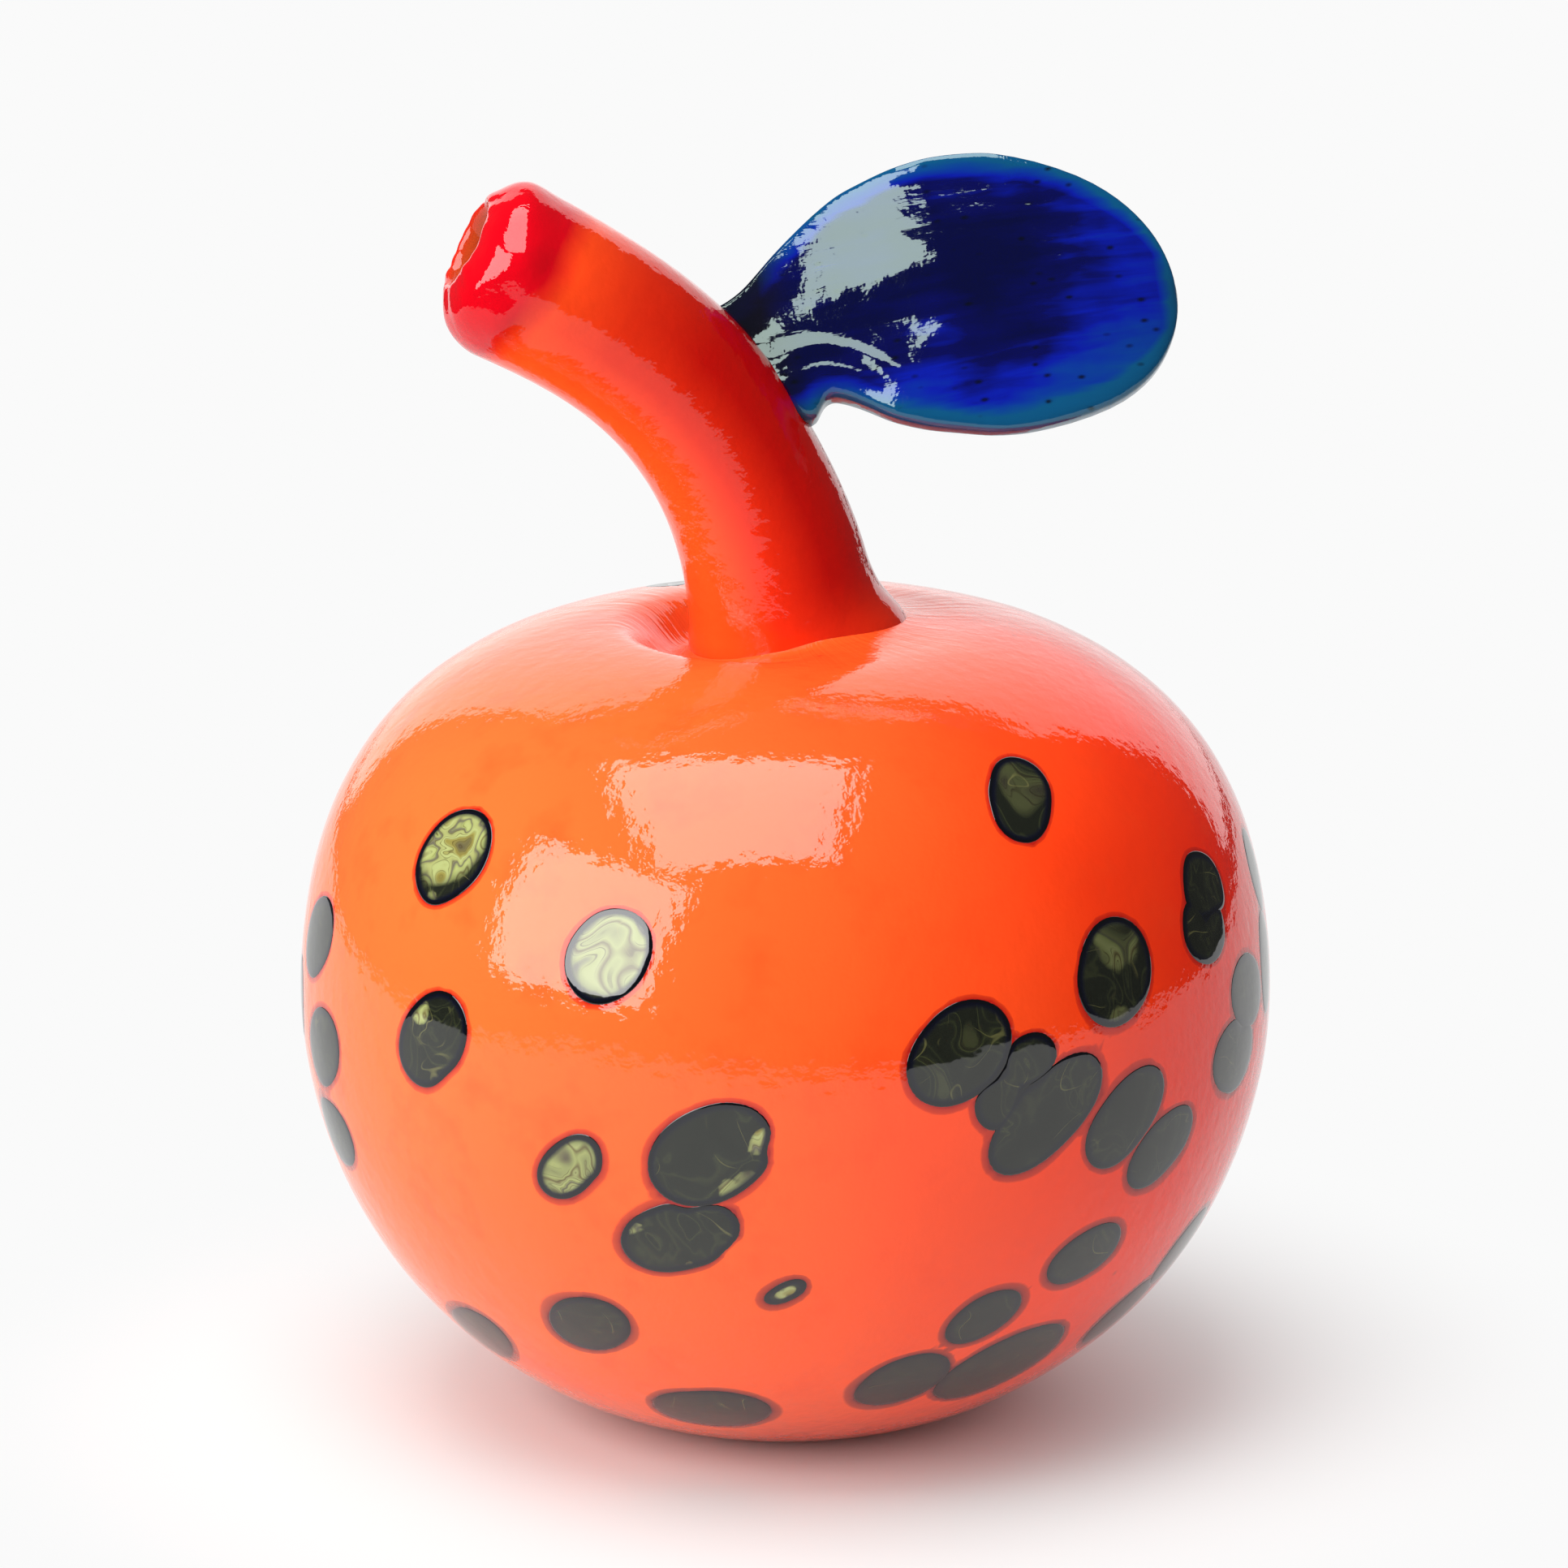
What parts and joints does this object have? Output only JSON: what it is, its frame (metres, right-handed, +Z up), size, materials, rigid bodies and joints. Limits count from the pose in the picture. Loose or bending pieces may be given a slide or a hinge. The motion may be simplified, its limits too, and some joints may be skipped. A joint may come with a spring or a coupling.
{
  "type": "art glass apple",
  "caption": "Blown art glass apple: orange body with dark lustre spots, bent hollow stem and blue leaf, standing on a ground foot as an ornament.",
  "frame": {"origin": "centre of the ground foot, on the surface the apple stands on", "axes": "+Z up along the body's axis; +X towards the leaf; the stem bends towards -X; the front looks towards -Y"},
  "size_m": [0.1502, 0.1504, 0.1965],
  "materials": {
    "opal_core": "opaque opal glass, fire-polished inside, ground flat below",
    "orange_casing": "gloss, fire-polished",
    "orange_stem": "gloss, fire-polished, redder towards the rim",
    "cobalt_leaf": "gloss with a faint silvery lustre",
    "lustre_chip": "gloss with a gold-green metallic lustre"
  },
  "bodies": {
    "root": {"body_core": "opal_core", "colour_casing": "orange_casing", "stem": "orange_stem", "leaf": "cobalt_leaf", "lustre_chip_01": "lustre_chip", "lustre_chip_02": "lustre_chip", "lustre_chip_03": "lustre_chip", "lustre_chip_04": "lustre_chip", "lustre_chip_05": "lustre_chip", "lustre_chip_06": "lustre_chip", "lustre_chip_07": "lustre_chip", "lustre_chip_08": "lustre_chip", "lustre_chip_09": "lustre_chip", "lustre_chip_10": "lustre_chip", "lustre_chip_11": "lustre_chip", "lustre_chip_12": "lustre_chip", "lustre_chip_13": "lustre_chip", "lustre_chip_14": "lustre_chip", "lustre_chip_15": "lustre_chip", "lustre_chip_16": "lustre_chip", "lustre_chip_17": "lustre_chip", "lustre_chip_18": "lustre_chip", "lustre_chip_19": "lustre_chip", "lustre_chip_20": "lustre_chip", "lustre_chip_21": "lustre_chip", "lustre_chip_22": "lustre_chip", "lustre_chip_23": "lustre_chip", "lustre_chip_24": "lustre_chip", "lustre_chip_25": "lustre_chip", "lustre_chip_26": "lustre_chip", "lustre_chip_27": "lustre_chip", "lustre_chip_28": "lustre_chip", "lustre_chip_29": "lustre_chip", "lustre_chip_30": "lustre_chip", "lustre_chip_31": "lustre_chip", "lustre_chip_32": "lustre_chip", "lustre_chip_33": "lustre_chip", "lustre_chip_34": "lustre_chip", "lustre_chip_35": "lustre_chip", "lustre_chip_36": "lustre_chip", "lustre_chip_37": "lustre_chip", "lustre_chip_38": "lustre_chip", "lustre_chip_39": "lustre_chip", "lustre_chip_40": "lustre_chip", "lustre_chip_41": "lustre_chip", "lustre_chip_42": "lustre_chip", "lustre_chip_43": "lustre_chip", "lustre_chip_44": "lustre_chip", "lustre_chip_45": "lustre_chip", "lustre_chip_46": "lustre_chip", "lustre_chip_47": "lustre_chip", "lustre_chip_48": "lustre_chip", "lustre_chip_49": "lustre_chip", "lustre_chip_50": "lustre_chip", "lustre_chip_51": "lustre_chip", "lustre_chip_52": "lustre_chip", "lustre_chip_53": "lustre_chip", "lustre_chip_54": "lustre_chip", "lustre_chip_55": "lustre_chip", "lustre_chip_56": "lustre_chip"}
  },
  "joints": []
}
